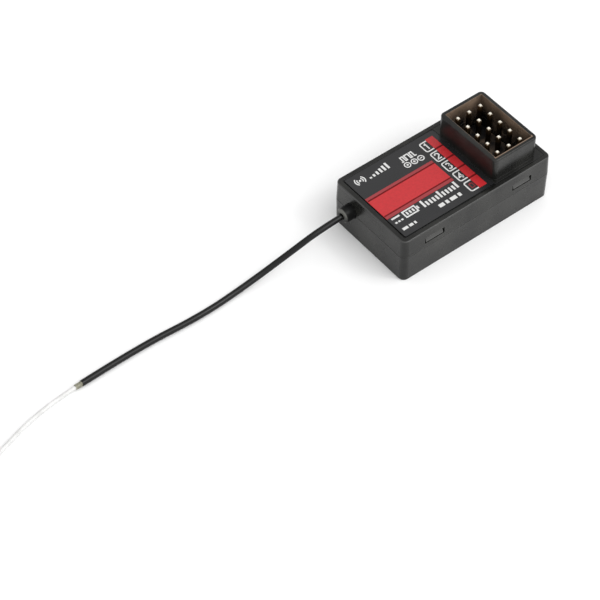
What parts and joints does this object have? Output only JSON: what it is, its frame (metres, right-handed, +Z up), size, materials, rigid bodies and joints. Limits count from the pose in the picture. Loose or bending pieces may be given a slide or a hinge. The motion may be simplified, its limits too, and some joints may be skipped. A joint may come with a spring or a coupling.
{
  "type": "rc receiver",
  "caption": "Small black radio-control receiver: snap-together case with a tall open pin header socket, a recessed label with red fields, and a thin aerial lead with a white active end.",
  "frame": {"origin": "centre of the flat underside of the case", "axes": "+X along the case towards the pin header, +Y across the case, +Z up out of the label side"},
  "size_m": [0.1189, 0.0186, 0.0142],
  "materials": {
    "case": "smoke black moulded plastic, semi-gloss",
    "label": "black film label, satin",
    "print_red": "red print, satin",
    "header_plastic": "black header plastic",
    "pin_plating": "gold-plated brass pins",
    "solder": "bright solder",
    "board": "green solder mask on glass board",
    "chip": "black moulding compound",
    "lead": "tin-plated metal",
    "metal_can": "plated metal can",
    "tantalum": "yellow moulded capacitor body",
    "ceramic": "tan ceramic",
    "resistor": "black chip resistor",
    "ferrite": "dark ferrite",
    "led_lens": "clear red lens",
    "sleeve": "black flexible sleeve",
    "cable_jacket": "black coaxial lead jacket",
    "braid": "bare tinned screen",
    "tip_insulation": "white translucent insulation"
  },
  "bodies": {
    "root": {"upper_shell": "case", "lower_shell": "case", "label_sheet": "label", "label_panel": "print_red", "label_cells": "print_red", "header_strips": "header_plastic", "signal_pins": "pin_plating", "power_pins": "pin_plating", "ground_pins": "pin_plating", "header_joints": "solder", "circuit_board": "board", "radio_chip": "chip", "controller_chip": "chip", "controller_leads": "lead", "crystal": "metal_can", "regulator": "chip", "regulator_leads": "lead", "power_capacitors": "tantalum", "ceramic_capacitors": "ceramic", "resistors": "resistor", "inductor": "ferrite", "status_led": "led_lens", "antenna_sleeve": "sleeve", "antenna_tail": "lead", "antenna_joints": "solder", "antenna_cable": "cable_jacket", "antenna_braid": "braid", "antenna_tip": "tip_insulation"}
  },
  "joints": []
}
